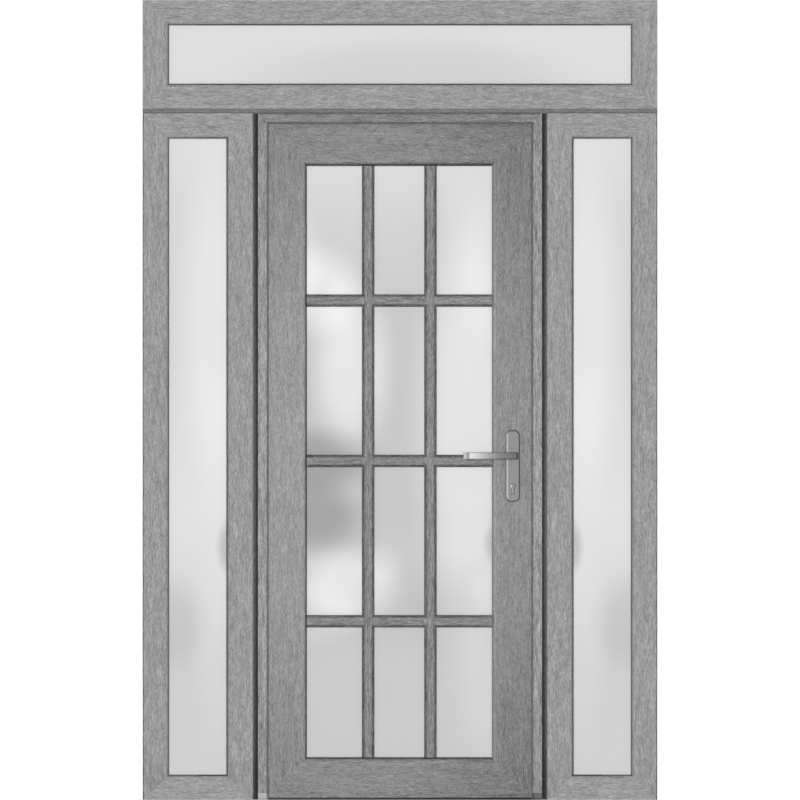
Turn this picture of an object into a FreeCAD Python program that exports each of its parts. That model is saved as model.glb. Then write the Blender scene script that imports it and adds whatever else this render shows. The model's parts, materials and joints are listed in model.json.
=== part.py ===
import FreeCAD, Part
import os
import re

import Sketcher
from FreeCAD import Placement, Rotation, Vector

# A glazed entrance door with a fixed light on each side and a transom light above.
# X runs across the unit, Y from the photographed face (-Y) to the rear, Z up.
# The origin lies on the floor, under the middle of the threshold.

# Driving sizes in millimetres
SIZES = {
    # The units that are coupled together
    "sidelight_width": 330,
    "door_frame_width": 852,
    "lower_height": 2060,
    "transom_height": 326,
    "post_width": 16,
    "coupling_bar_height": 14,
    "frame_depth": 70,
    # Profile of the fixed lights, with its glazing
    "fixed_jamb_face": 76,
    "fixed_level_face": 72.5,
    "fixed_lip": 9.5,
    "fixed_lip_round": 8,
    "fixed_rebate": 19,
    "glass_thickness": 28,
    "glass_edge_gap": 5,
    "gasket_thickness": 2.5,
    "gasket_nose": 3,
    "gasket_rise": 4,
    "bead_slope_width": 8,
    "bead_slope_depth": 13,
    "bead_mitre_gap": 0.4,
    "fixing_radius": 4,
    "fixing_from_end": 200,
    # Coupling posts and bar
    "post_shallow": 4,
    "post_deep": 14,
    "coupling_bar_recess": 3,
    "drip_groove_height": 3,
    "drip_groove_depth": 4,
    # Door frame and threshold
    "jamb_face": 28,
    "jamb_lip": 6.5,
    "jamb_body": 19,
    "jamb_lip_round": 5,
    "jamb_foot_height": 17,
    "threshold_thickness": 4,
    "threshold_nosing": 3,
    "seal_sight": 3.5,
    "seal_tail": 4,
    "seal_setback": 3,
    "seal_clearance": 0.5,
    # Door leaf
    "leaf_edge_gap": 8,
    "leaf_floor_gap": 3,
    "leaf_setback": 8,
    "leaf_thickness": 67,
    "hinge_stile_width": 116,
    "lock_stile_width": 120,
    "top_rail_width": 127,
    "bottom_rail_width": 117,
    "leaf_lip": 11,
    "leaf_lip_round": 10,
    "leaf_rebate": 22,
    "leaf_gasket": 2.5,
    "leaf_gasket_nose": 3,
    "leaf_gasket_rise": 5,
    "sweep_thickness": 8,
    "sweep_setback": 2,
    "sweep_clearance": 0.5,
    # Glazing bars of the leaf
    "bar_base": 37.5,
    "bar_rise": 12,
    "bar_round": 11,
    "bar_column_spacing": 187,
    "bar_row_spacing": 481.5,
    "bar_lift": 2,
    # Hinges
    "hinge_length": 100,
    "hinge_barrel_radius": 9,
    "hinge_pin_radius": 4,
    "hinge_pin_clearance": 0.05,
    "hinge_cap": 5,
    "hinge_pin_end_gap": 1,
    "hinge_knuckle_gap": 1,
    "hinge_plate": 4,
    "hinge_axis_inset": 17,
    "hinge_axis_behind": 10,
    "hinge_flag_reach": 55,
    "hinge_jamb_reach": 15,
    "hinge_flag_corner": 8,
    "hinge_chamfer": 1.5,
    "hinge_low_height": 250,
    "hinge_middle_height": 1030,
    "hinge_high_height": 1800,
    # Lock and handles
    "spindle_height": 1033,
    "spindle_backset": 61,
    "spindle_side": 8,
    "spindle_hole_radius": 9,
    "plate_width": 43.5,
    "plate_height": 215,
    "plate_above_spindle": 76.5,
    "plate_thickness": 9,
    "plate_corner": 18,
    "plate_bevel": 3.5,
    "lever_length": 148,
    "lever_tail": 16,
    "lever_height": 20,
    "lever_thickness": 11,
    "lever_reach": 50,
    "lever_return": 30,
    "lever_tip_bend": 22,
    "lever_neck_bend": 7,
    "lever_tip_round": 3,
    "lever_edge": 1.5,
    "neck_radius": 10,
    "neck_clearance": 0.3,
    "neck_end_gap": 1,
    "cylinder_drop": 92,
    "cylinder_radius": 8.5,
    "cylinder_leg_width": 10,
    "cylinder_leg_drop": 24.5,
    "cylinder_stand": 3,
    "cylinder_chamfer": 1.5,
    "cylinder_clearance": 0.3,
    "key_slot_width": 2.4,
    "key_slot_height": 9,
    "key_slot_depth": 4,
    "forend_width": 20,
    "forend_length": 1500,
    "forend_thickness": 3,
    "forend_clearance": 0.2,
    "strike_width": 20,
    "strike_length": 200,
    "strike_thickness": 2,
    "bolt_width": 12,
    "latch_length": 30,
    "dead_bolt_length": 36,
    "bolt_depth": 12,
    "bolt_clearance": 0.3,
    "bolt_shy": 0.5,
}

doc = FreeCAD.newDocument("door_with_sidelights")
sheet = doc.addObject("Spreadsheet::Sheet", "Sizes")
for row, (name, value) in enumerate(SIZES.items(), start=1):
    sheet.set(f"A{row}", name)
    sheet.set(f"B{row}", str(value))
    sheet.setAlias(f"B{row}", name)
doc.recompute()

# Depths through the wall, front to rear
FRONT = "(-frame_depth / 2)"
REAR = "(frame_depth / 2)"
LIP_BACK = f"({FRONT} + fixed_lip)"
GLASS_FRONT = f"({LIP_BACK} + gasket_thickness)"
GLASS_BACK = f"({GLASS_FRONT} + glass_thickness)"
LEAF_FRONT = f"({FRONT} + leaf_setback)"
LEAF_BACK = f"({LEAF_FRONT} + leaf_thickness)"
LEAF_LIP_BACK = f"({LEAF_FRONT} + leaf_lip)"
DOOR_GLASS_FRONT = f"({LEAF_LIP_BACK} + leaf_gasket)"
DOOR_GLASS_BACK = f"({DOOR_GLASS_FRONT} + glass_thickness)"

# Lines across and up the unit
DOOR_RIGHT = "(door_frame_width / 2)"
DOOR_LEFT = f"(-{DOOR_RIGHT})"
UNIT_RIGHT = f"({DOOR_RIGHT} + post_width + sidelight_width)"
UNIT_LEFT = f"(-{UNIT_RIGHT})"
UNIT_WIDTH = f"(2 * {UNIT_RIGHT})"
TRANSOM_BOTTOM = "(lower_height + coupling_bar_height)"
LEAF_EDGE = "(jamb_body + leaf_edge_gap)"
LEAF_LEFT = f"({DOOR_LEFT} + {LEAF_EDGE})"
LEAF_RIGHT = f"({DOOR_RIGHT} - {LEAF_EDGE})"
LEAF_WIDTH = f"({LEAF_RIGHT} - {LEAF_LEFT})"
LEAF_BOTTOM = "(threshold_thickness + leaf_floor_gap)"
LEAF_TOP = f"(lower_height - {LEAF_EDGE})"
LEAF_HEIGHT = f"({LEAF_TOP} - {LEAF_BOTTOM})"
SIGHT_WIDTH = f"({LEAF_WIDTH} - hinge_stile_width - lock_stile_width)"
SIGHT_HEIGHT = f"({LEAF_HEIGHT} - top_rail_width - bottom_rail_width)"
SIGHT_CENTRE = f"({LEAF_LEFT} + hinge_stile_width + {SIGHT_WIDTH} / 2)"
SIGHT_MIDDLE = f"({LEAF_BOTTOM} + bottom_rail_width + {SIGHT_HEIGHT} / 2)"
FOOT_TOP = "(threshold_thickness + jamb_foot_height)"
SPINDLE_ACROSS = f"({LEAF_RIGHT} - spindle_backset)"
CYLINDER_HEIGHT = "(spindle_height - cylinder_drop)"

nodes = []
SAME = 1e-6


def formula(text):
    """A size written in the sheet's names, as an expression the document follows"""
    return re.sub(r"[a-z_]+", r"Sizes.\g<0>", text)


def mm(text):
    """The present value of a size written in the sheet's names"""
    return float(sheet.evalExpression(formula(text)))


def place(piece, x, y, z, axis=Vector(0, 1, 0), angle=0):
    """Turn a piece about one axis and set its origin down at x, y, z"""
    piece.Placement = Placement(Vector(0, 0, 0), Rotation(axis, angle))
    for direction, distance in zip("xyz", (x, y, z)):
        piece.setExpression(f".Placement.Base.{direction}", formula(distance))


def new_body(label, node=True):
    """An empty body; with node it is written out as a sub-part of its own"""
    body = doc.addObject("PartDesign::Body", label)
    body.Label = label
    if node:
        nodes.append(body)
    return body


def add_sketch(body, plane, outlines=(), circles=(), offset="0"):
    """Straight-sided outlines and circles on an origin plane, every corner and centre dimensioned"""
    sketch = body.newObject("Sketcher::SketchObject", body.Label + "_sketch")
    support = [part for part in body.Origin.OriginFeatures if part.Role == plane]
    sketch.AttachmentSupport = [(support[0], "")]
    sketch.MapMode = "FlatFace"
    sketch.setExpression(".AttachmentOffset.Base.z", formula(offset))

    rules = []
    held = {}

    def hold(kind, targets, size):
        held[len(rules)] = size
        rules.append(Sketcher.Constraint(kind, *targets, mm(size)))

    for outline in outlines:
        corners = [Vector(mm(x), mm(y), 0) for x, y in outline]
        ends = corners[1:] + corners[:1]
        lines = [sketch.addGeometry(Part.LineSegment(a, b), False) for a, b in zip(corners, ends)]
        for line, following in zip(lines, lines[1:] + lines[:1]):
            rules.append(Sketcher.Constraint("Coincident", line, 2, following, 1))
        for line, (x, y) in zip(lines, outline):
            hold("DistanceX", (-1, 1, line, 1), x)
            hold("DistanceY", (-1, 1, line, 1), y)
    for x, y, radius in circles:
        shape = Part.Circle(Vector(mm(x), mm(y), 0), Vector(0, 0, 1), mm(radius))
        circle = sketch.addGeometry(shape, False)
        hold("DistanceX", (-1, 1, circle, 3), x)
        hold("DistanceY", (-1, 1, circle, 3), y)
        hold("Radius", (circle,), radius)
    sketch.addConstraint(rules)
    for index, size in held.items():
        sketch.setExpression(f"Constraints[{index}]", formula(size))
    return sketch


def add_pad(body, sketch, length, symmetric=False):
    """Material along the sketch's normal, or half of it each way"""
    pad = body.newObject("PartDesign::Pad", body.Label + "_pad")
    pad.Profile = sketch
    pad.setExpression("Length", formula(length))
    if symmetric:
        pad.SideType = "Symmetric"
    return pad


def add_pocket(body, sketch, depth=None, along_normal=False):
    """A cut right through both ways, or to a depth from the sketch's plane"""
    base = body.Tip
    base.recompute(True)
    pocket = body.newObject("PartDesign::Pocket", body.Label + "_pocket")
    pocket.Profile = sketch
    if depth is None:
        pocket.Type = "ThroughAll"
        pocket.SideType = "Symmetric"
    else:
        pocket.setExpression("Length", formula(depth))
        pocket.Reversed = along_normal
    pocket.recompute(True)
    if not pocket.Shape.Volume < base.Shape.Volume:
        raise ValueError(f"{pocket.Label} cuts nothing from {body.Label}")
    return pocket


def add_edge_break(body, kind, size, chosen):
    """Round (Fillet) or bevel (Chamfer) the edges that pass the test"""
    base = body.Tip
    base.recompute(True)
    picked = [f"Edge{index}" for index, edge in enumerate(base.Shape.Edges, start=1) if chosen(edge)]
    feature = body.newObject(f"PartDesign::{kind}", f"{body.Label}_{kind.lower()}")
    feature.Base = (base, picked)
    feature.setExpression("Radius" if kind == "Fillet" else "Size", formula(size))
    return feature


def lies_on(edge, direction, size):
    """Whether every end of an edge lies at one distance along x, y or z"""
    return all(abs(getattr(end.Point, direction) - mm(size)) < SAME for end in edge.Vertexes)


def runs_along(edge, direction):
    """Whether an edge is a straight line along x, y or z"""
    if edge.Curve.TypeId != "Part::GeomLine":
        return False
    return abs(getattr(edge.Curve.Direction, direction)) > 1 - SAME


def rectangle(left, bottom, right, top):
    """Corners of an upright rectangle"""
    return [(left, bottom), (right, bottom), (right, top), (left, top)]


def join(label, pieces):
    """Several loose solids of one kind as one sub-part"""
    group = doc.addObject("Part::Compound", label)
    group.Label = label
    group.Links = pieces
    nodes.append(group)
    return group


# Four bars round a rectangle, each drawn along X and turned into place

TURN = {"sill": 0, "left": 90, "head": 180, "right": 270}
NEIGHBOURS = {
    "sill": ("left", "right"),
    "left": ("head", "sill"),
    "head": ("right", "left"),
    "right": ("sill", "head"),
}


def bar_seat(side, left, bottom, width, height):
    """Where a side's bar starts, and how long it runs"""
    right = f"({left} + {width})"
    top = f"({bottom} + {height})"
    seats = {
        "sill": (left, bottom, width),
        "left": (left, top, height),
        "head": (right, top, width),
        "right": (right, bottom, height),
    }
    return seats[side]


def bar_length(body, side, box, profile, face, lip_round=None):
    """A plain length of profile along one side of a box, its front inner edge rounded; returns its run

    The profile gives depth through the wall, then distance inward from the outer edge.
    """
    x, z, run = bar_seat(side, *box)
    place(body, x, "0", z, angle=TURN[side])
    add_pad(body, add_sketch(body, "YZ_Plane", [profile]), run)
    if lip_round is not None:
        front = profile[0][0]

        def is_lip(edge):
            return runs_along(edge, "x") and lies_on(edge, "y", front) and lies_on(edge, "z", face)

        add_edge_break(body, "Fillet", lip_round, is_lip)
    return run


def mitred_bar(label, side, box, profile, faces, lip_round=None, mitre_gap=None, node=True):
    """One length of profile, mitred where it meets the neighbours that faces names"""
    body = new_body(label, node)
    own = faces[side]
    run = bar_length(body, side, box, profile, own, lip_round)
    cuts = []
    for neighbour, end, inwards in zip(NEIGHBOURS[side], ("0", run), ("+", "-")):
        if neighbour not in faces:
            continue
        reach = faces[neighbour]
        if mitre_gap is None:
            cuts.append([(end, "0"), (end, own), (f"{end} {inwards} {reach}", own)])
        else:
            foot = f"{end} {inwards} {mitre_gap} / 2"
            cuts.append([(end, "0"), (end, own), (f"{foot} {inwards} {reach}", own), (foot, "0")])
    add_pocket(body, add_sketch(body, "XZ_Plane", cuts))
    return body


# Glazing, alike in the fixed lights and the leaf: glass unit, gasket in front, mitred beads behind

def glazing_seat(box, faces, rebate):
    """The box out to the floor of the glazing rebate, inside a frame of the given faces"""
    left, bottom, width, height = box
    left_floor, right_floor, low_floor, high_floor = (
        f"({faces[side]} - {rebate})" for side in ("left", "right", "sill", "head")
    )
    return (
        f"({left} + {left_floor})",
        f"({bottom} + {low_floor})",
        f"({width} - {left_floor} - {right_floor})",
        f"({height} - {low_floor} - {high_floor})",
    )


def pane(label, seat, front):
    """A sealed glass unit, set in from the floor of its rebate all round"""
    left, bottom, width, height = seat
    glass = doc.addObject("Part::Box", label)
    glass.Label = label
    glass.setExpression("Length", formula(f"{width} - 2 * glass_edge_gap"))
    glass.setExpression("Width", formula("glass_thickness"))
    glass.setExpression("Height", formula(f"{height} - 2 * glass_edge_gap"))
    place(glass, f"{left} + glass_edge_gap", front, f"{bottom} + glass_edge_gap")
    nodes.append(glass)
    return glass


def ring(body, box, outer, inner, back, depth):
    """A rectangular ring inside a box, from one distance inward to another"""
    left, bottom, width, height = box
    outlines = [
        rectangle(
            f"({left} + {inset})",
            f"({bottom} + {inset})",
            f"({left} + {width} - {inset})",
            f"({bottom} + {height} - {inset})",
        )
        for inset in (outer, inner)
    ]
    sketch = add_sketch(body, "XZ_Plane", outlines, offset=f"-({back})")
    return add_pad(body, sketch, depth)


def glass_gasket(label, seat, rebate, nose, glass_front, thickness, rise):
    """A rubber ring between lip and glass, with a nose that shows along the edge of the lip"""
    gasket = new_body(label, node=False)
    sight = f"({rebate} + {nose})"
    ring(gasket, seat, "glass_edge_gap", sight, glass_front, thickness)
    ring(gasket, seat, rebate, sight, f"({glass_front} - {thickness})", f"{rise} - {thickness}")
    return gasket


def bead_set(name, seat, rebate, glass_back, rear):
    """Four mitred beads that fill the rebate behind the glass and slope down to it"""
    profile = [
        (glass_back, "0"),
        (rear, "0"),
        (rear, f"{rebate} - bead_slope_width"),
        (f"{rear} - bead_slope_depth", rebate),
        (glass_back, rebate),
    ]
    faces = {side: rebate for side in TURN}
    return [
        mitred_bar(f"{name}_bead_{side}", side, seat, profile, faces, mitre_gap="bead_mitre_gap", node=False)
        for side in TURN
    ]


# Fixed lights: mitred frame with a rounded lip, then its glazing

FIXED_FACES = {
    "sill": "fixed_level_face",
    "left": "fixed_jamb_face",
    "head": "fixed_level_face",
    "right": "fixed_jamb_face",
}
MEMBER = {"sill": "sill", "left": "left_jamb", "head": "head", "right": "right_jamb"}


def fixed_profile(face):
    """Section of a fixed frame: lip in front, glazing rebate open to the rear"""
    floor = f"({face} - fixed_rebate)"
    return [
        (FRONT, "0"),
        (REAR, "0"),
        (REAR, floor),
        (LIP_BACK, floor),
        (LIP_BACK, face),
        (FRONT, face),
    ]


def fixed_light(name, left, bottom, width, height):
    """A fixed glazed frame; returns its four members by side"""
    box = (left, bottom, width, height)
    members = {
        side: mitred_bar(
            f"{name}_{MEMBER[side]}", side, box, fixed_profile(face), FIXED_FACES, "fixed_lip_round"
        )
        for side, face in FIXED_FACES.items()
    }
    seat = glazing_seat(box, FIXED_FACES, "fixed_rebate")
    pane(f"{name}_glass", seat, GLASS_FRONT)
    gasket = glass_gasket(
        f"{name}_gasket", seat, "fixed_rebate", "gasket_nose", GLASS_FRONT, "gasket_thickness", "gasket_rise"
    )
    fixed_gaskets.append(gasket)
    fixed_beads.extend(bead_set(name, seat, "fixed_rebate", GLASS_BACK, REAR))
    return members


fixed_gaskets = []
fixed_beads = []
fixed_light("transom", UNIT_LEFT, TRANSOM_BOTTOM, UNIT_WIDTH, "transom_height")
left_light = fixed_light("left_sidelight", UNIT_LEFT, "0", "sidelight_width", "lower_height")
right_light = fixed_light(
    "right_sidelight", f"({UNIT_RIGHT} - sidelight_width)", "0", "sidelight_width", "lower_height"
)
join("fixed_gaskets", fixed_gaskets)
join("fixed_beads", fixed_beads)

# Wall fixings: two holes through the outer jamb of each sidelight, out of sight under the glass edge
for outer_jamb in (left_light["left"], right_light["right"]):
    drill_line = [
        (distance, "0", "fixing_radius")
        for distance in ("fixing_from_end", "lower_height - fixing_from_end")
    ]
    add_pocket(outer_jamb, add_sketch(outer_jamb, "XY_Plane", circles=drill_line))


# Coupling strips that close the joints between the units

def coupling_post(label, left, deep_side):
    """An upright filler whose recessed front slopes down towards the door frame"""
    post = new_body(label, node=False)
    near_depth = f"{FRONT} + post_deep"
    far_depth = f"{FRONT} + post_shallow"
    left_depth, right_depth = (near_depth, far_depth) if deep_side == "left" else (far_depth, near_depth)
    outline = [("0", left_depth), ("post_width", right_depth), ("post_width", REAR), ("0", REAR)]
    add_pad(post, add_sketch(post, "XY_Plane", [outline]), "lower_height")
    place(post, left, "0", "0")
    return post


left_post = coupling_post("left_coupling_post", f"{DOOR_LEFT} - post_width", "right")
right_post = coupling_post("right_coupling_post", DOOR_RIGHT, "left")
join("coupling_posts", [left_post, right_post])

coupling_bar = new_body("transom_coupling_bar")
strip_front = f"({FRONT} + coupling_bar_recess)"
groove_back = f"({strip_front} + drip_groove_depth)"
strip_section = [
    (strip_front, "drip_groove_height"),
    (groove_back, "drip_groove_height"),
    (groove_back, "0"),
    (REAR, "0"),
    (REAR, "coupling_bar_height"),
    (strip_front, "coupling_bar_height"),
]
add_pad(coupling_bar, add_sketch(coupling_bar, "YZ_Plane", [strip_section]), UNIT_WIDTH)
place(coupling_bar, UNIT_LEFT, "0", "lower_height")


# Door frame: two jambs and a head, on a low threshold with end caps under the jambs

DOOR_PROFILE = [
    (FRONT, "0"),
    (REAR, "0"),
    (REAR, "jamb_body"),
    (f"{FRONT} + jamb_lip", "jamb_body"),
    (f"{FRONT} + jamb_lip", "jamb_face"),
    (FRONT, "jamb_face"),
]
DOOR_FACES = {side: "jamb_face" for side in ("left", "head", "right")}
DOOR_BOX = (DOOR_LEFT, FOOT_TOP, "door_frame_width", f"(lower_height - {FOOT_TOP})")

hinge_jamb = mitred_bar("hinge_jamb", "left", DOOR_BOX, DOOR_PROFILE, DOOR_FACES, "jamb_lip_round")
door_head = mitred_bar("door_head", "head", DOOR_BOX, DOOR_PROFILE, DOOR_FACES, "jamb_lip_round")
lock_jamb = mitred_bar("lock_jamb", "right", DOOR_BOX, DOOR_PROFILE, DOOR_FACES, "jamb_lip_round")

jamb_feet = []
for label, side in (("hinge_jamb_foot", "left"), ("lock_jamb_foot", "right")):
    foot = new_body(label, node=False)
    foot_box = (DOOR_LEFT, "threshold_thickness", "door_frame_width", "jamb_foot_height")
    bar_length(foot, side, foot_box, DOOR_PROFILE, "jamb_face", "jamb_lip_round")
    jamb_feet.append(foot)
join("jamb_feet", jamb_feet)

threshold = new_body("threshold")
threshold_section = [
    (FRONT, "0"),
    (REAR, "0"),
    (REAR, "threshold_thickness"),
    (f"{FRONT} + threshold_nosing", "threshold_thickness"),
    (FRONT, "threshold_thickness / 2"),
]
add_pad(threshold, add_sketch(threshold, "YZ_Plane", [threshold_section]), "door_frame_width")
place(threshold, DOOR_LEFT, "0", "0")


# Rubber seal that the leaf closes against, in one piece up, over and down

def arch(outer, inner):
    """An upside-down U inside the door frame, standing on the threshold"""
    left_out, left_in = (f"{DOOR_LEFT} + {inset}" for inset in (outer, inner))
    right_out, right_in = (f"{DOOR_RIGHT} - {inset}" for inset in (outer, inner))
    top_out, top_in = (f"lower_height - {inset}" for inset in (outer, inner))
    foot_line = "threshold_thickness"
    return [
        (left_out, foot_line),
        (left_in, foot_line),
        (left_in, top_in),
        (right_in, top_in),
        (right_in, foot_line),
        (right_out, foot_line),
        (right_out, top_out),
        (left_out, top_out),
    ]


seal = new_body("door_seal")
seal_back = f"({LEAF_FRONT} - seal_clearance)"
seal_inner = "(jamb_face + seal_sight)"
jamb_lip_back = f"({FRONT} + jamb_lip)"
seal_tail = add_sketch(
    seal, "XZ_Plane", [arch("(jamb_face - seal_tail)", seal_inner)], offset=f"-{seal_back}"
)
add_pad(seal, seal_tail, f"{seal_back} - {jamb_lip_back}")
seal_nose = add_sketch(seal, "XZ_Plane", [arch("jamb_face", seal_inner)], offset=f"-{jamb_lip_back}")
add_pad(seal, seal_nose, "jamb_lip - seal_setback")


# Door leaf: four mitred members round a sealed glass unit

LEAF_BOX = (LEAF_LEFT, LEAF_BOTTOM, LEAF_WIDTH, LEAF_HEIGHT)
LEAF_FACES = {
    "sill": "bottom_rail_width",
    "left": "hinge_stile_width",
    "head": "top_rail_width",
    "right": "lock_stile_width",
}


def leaf_profile(face):
    """Section of a leaf member: lip in front, glazing rebate open to the rear"""
    floor = f"({face} - leaf_rebate)"
    return [
        (LEAF_FRONT, "0"),
        (LEAF_BACK, "0"),
        (LEAF_BACK, floor),
        (LEAF_LIP_BACK, floor),
        (LEAF_LIP_BACK, face),
        (LEAF_FRONT, face),
    ]


LEAF_MEMBER = {"sill": "bottom_rail", "left": "hinge_stile", "head": "top_rail", "right": "lock_stile"}
leaf = {
    side: mitred_bar(LEAF_MEMBER[side], side, LEAF_BOX, leaf_profile(face), LEAF_FACES, "leaf_lip_round")
    for side, face in LEAF_FACES.items()
}
leaf_seat = glazing_seat(LEAF_BOX, LEAF_FACES, "leaf_rebate")
join("door_beads", bead_set("leaf", leaf_seat, "leaf_rebate", DOOR_GLASS_BACK, LEAF_BACK))
pane("door_glass", leaf_seat, DOOR_GLASS_FRONT)
door_glass_gasket = glass_gasket(
    "door_glass_gasket",
    leaf_seat,
    "leaf_rebate",
    "leaf_gasket_nose",
    DOOR_GLASS_FRONT,
    "leaf_gasket",
    "leaf_gasket_rise",
)

sweep = doc.addObject("Part::Box", "door_sweep")
sweep.setExpression("Length", formula(LEAF_WIDTH))
sweep.setExpression("Width", formula("sweep_thickness"))
sweep.setExpression("Height", formula("leaf_floor_gap - sweep_clearance"))
place(sweep, LEAF_LEFT, f"{LEAF_FRONT} + sweep_setback", "threshold_thickness + sweep_clearance")
join("door_gasket", [door_glass_gasket, sweep])


# Glazing bars: two uprights crossing three level bars, with rounded sides that mitre where they meet

def bar_section(middle):
    """Section of a bar about its middle line, standing forward from the glass"""
    return rectangle(f"{middle} - bar_base / 2", "-bar_rise", f"{middle} + bar_base / 2", "0")


def glazing_bars(label, glass_face, turn, trim):
    """The whole lattice, on one face of the glass, trimmed back from the leaf at every end"""
    lattice = new_body(label)
    across = f"({SIGHT_WIDTH} - 2 * {trim})"
    upwards = f"({SIGHT_HEIGHT} - 2 * {trim})"
    place(lattice, SIGHT_CENTRE, glass_face, SIGHT_MIDDLE, axis=Vector(0, 0, 1), angle=turn)
    rows = [
        [(depth, height) for height, depth in bar_section(middle)]
        for middle in ("bar_lift - bar_row_spacing", "bar_lift", "bar_lift + bar_row_spacing")
    ]
    columns = [bar_section(middle) for middle in ("-bar_column_spacing / 2", "bar_column_spacing / 2")]
    add_pad(lattice, add_sketch(lattice, "YZ_Plane", rows), across, symmetric=True)
    add_pad(lattice, add_sketch(lattice, "XY_Plane", columns), upwards, symmetric=True)
    ends = [(axis, f"{sign}{run} / 2") for axis, run in (("x", across), ("z", upwards)) for sign in ("", "-")]

    def is_side(edge):
        at_end = any(lies_on(edge, axis, line) for axis, line in ends)
        return lies_on(edge, "y", "-bar_rise") and not at_end

    add_edge_break(lattice, "Fillet", "bar_round", is_side)


glazing_bars("front_glazing_bars", DOOR_GLASS_FRONT, 0, "leaf_gasket_nose")
glazing_bars("rear_glazing_bars", DOOR_GLASS_BACK, 180, "0")


# Hinges on the rear face: lower knuckle and pin on the jamb, upper knuckle and flag on the leaf

HINGE_ACROSS = f"({DOOR_LEFT} + hinge_axis_inset)"
HINGE_DEPTH = f"({REAR} + hinge_axis_behind)"
KNUCKLE = "(hinge_length / 2 - hinge_knuckle_gap / 2)"


def hinge(position, height):
    """One butt-and-flag hinge"""
    jamb_half = new_body(f"{position}_hinge_jamb_half", node=False)
    place(jamb_half, HINGE_ACROSS, HINGE_DEPTH, height)
    foot = "-hinge_length / 2"
    jamb_plate = rectangle(
        "-hinge_jamb_reach", "-hinge_axis_behind", "0", "hinge_plate - hinge_axis_behind"
    )
    barrel = [("0", "0", "hinge_barrel_radius")]
    add_pad(jamb_half, add_sketch(jamb_half, "XY_Plane", circles=barrel, offset=foot), KNUCKLE)
    add_edge_break(jamb_half, "Chamfer", "hinge_chamfer", lambda edge: lies_on(edge, "z", foot))
    add_pad(jamb_half, add_sketch(jamb_half, "XY_Plane", [jamb_plate], offset=foot), KNUCKLE)
    pin = add_sketch(
        jamb_half, "XY_Plane", circles=[("0", "0", "hinge_pin_radius")], offset="-hinge_knuckle_gap / 2"
    )
    add_pad(jamb_half, pin, "hinge_knuckle_gap / 2 + hinge_length / 2 - hinge_cap - hinge_pin_end_gap")

    leaf_half = new_body(f"{position}_hinge_leaf_half", node=False)
    place(leaf_half, HINGE_ACROSS, HINGE_DEPTH, height)
    start = "hinge_knuckle_gap / 2"
    flag_front = f"({LEAF_BACK} - {HINGE_DEPTH})"
    flag = rectangle("0", flag_front, "hinge_flag_reach", f"{flag_front} + hinge_plate")
    add_pad(leaf_half, add_sketch(leaf_half, "XY_Plane", circles=barrel, offset=start), KNUCKLE)
    add_edge_break(leaf_half, "Chamfer", "hinge_chamfer", lambda edge: lies_on(edge, "z", "hinge_length / 2"))
    add_pad(leaf_half, add_sketch(leaf_half, "XY_Plane", [flag], offset=start), KNUCKLE)
    add_edge_break(
        leaf_half,
        "Fillet",
        "hinge_flag_corner",
        lambda edge: lies_on(edge, "x", "hinge_flag_reach") and runs_along(edge, "y"),
    )
    bore = [("0", "0", "hinge_pin_radius + hinge_pin_clearance")]
    bore_sketch = add_sketch(leaf_half, "XY_Plane", circles=bore, offset=start)
    add_pocket(leaf_half, bore_sketch, f"{KNUCKLE} - hinge_cap", along_normal=True)
    return jamb_half, leaf_half


hinges = [hinge(position, f"hinge_{position}_height") for position in ("low", "middle", "high")]
join("hinge_jamb_halves", [jamb_half for jamb_half, leaf_half in hinges])
join("hinge_leaf_halves", [leaf_half for jamb_half, leaf_half in hinges])


# Lock: cylinder, bolts drawn back into the forend on the leaf's edge, and a strike plate in the jamb

lock_stile = leaf["right"]
SPINDLE_RUN = f"(spindle_height - {LEAF_BOTTOM})"
CYLINDER_RUN = f"({CYLINDER_HEIGHT} - {LEAF_BOTTOM})"
LEAF_MID_DEPTH = f"(({LEAF_FRONT} + {LEAF_BACK}) / 2)"


def keyhole(across, along, spare):
    """Leg outline and plug circle of the lock cylinder's section, with spare room round it"""
    leg = rectangle(
        f"{across} - cylinder_leg_width / 2 - {spare}",
        f"{along} - cylinder_leg_drop - {spare}",
        f"{across} + cylinder_leg_width / 2 + {spare}",
        along,
    )
    return leg, (across, along, f"cylinder_radius + {spare}")


stile_leg, stile_plug = keyhole("spindle_backset", CYLINDER_RUN, "cylinder_clearance")
stile_leg = [(along, across) for across, along in stile_leg]
stile_plug = (stile_plug[1], stile_plug[0], stile_plug[2])
spindle_hole = (SPINDLE_RUN, "spindle_backset", "spindle_hole_radius")
add_pocket(lock_stile, add_sketch(lock_stile, "XZ_Plane", circles=[spindle_hole, stile_plug]))
add_pocket(lock_stile, add_sketch(lock_stile, "XZ_Plane", [stile_leg]))


def edge_slot(length, width, middle, depth_line, spare="0"):
    """Upright slot on a jamb or stile edge: run along the bar first, then depth through the wall"""
    return rectangle(
        f"{middle} - {length} / 2 - {spare}",
        f"{depth_line} - {width} / 2 - {spare}",
        f"{middle} + {length} / 2 + {spare}",
        f"{depth_line} + {width} / 2 + {spare}",
    )


forend_slot = edge_slot("forend_length", "forend_width", SPINDLE_RUN, LEAF_MID_DEPTH, "forend_clearance")
add_pocket(
    lock_stile, add_sketch(lock_stile, "XY_Plane", [forend_slot]), "forend_thickness", along_normal=True
)
bolt_runs = (
    ("latch_length", f"({SPINDLE_RUN})"),
    ("dead_bolt_length", f"({CYLINDER_RUN})"),
)
bolt_slots = [
    edge_slot(length, "bolt_width", middle, LEAF_MID_DEPTH, "bolt_clearance")
    for length, middle in bolt_runs
]
add_pocket(lock_stile, add_sketch(lock_stile, "XY_Plane", bolt_slots), "bolt_depth", along_normal=True)

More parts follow.
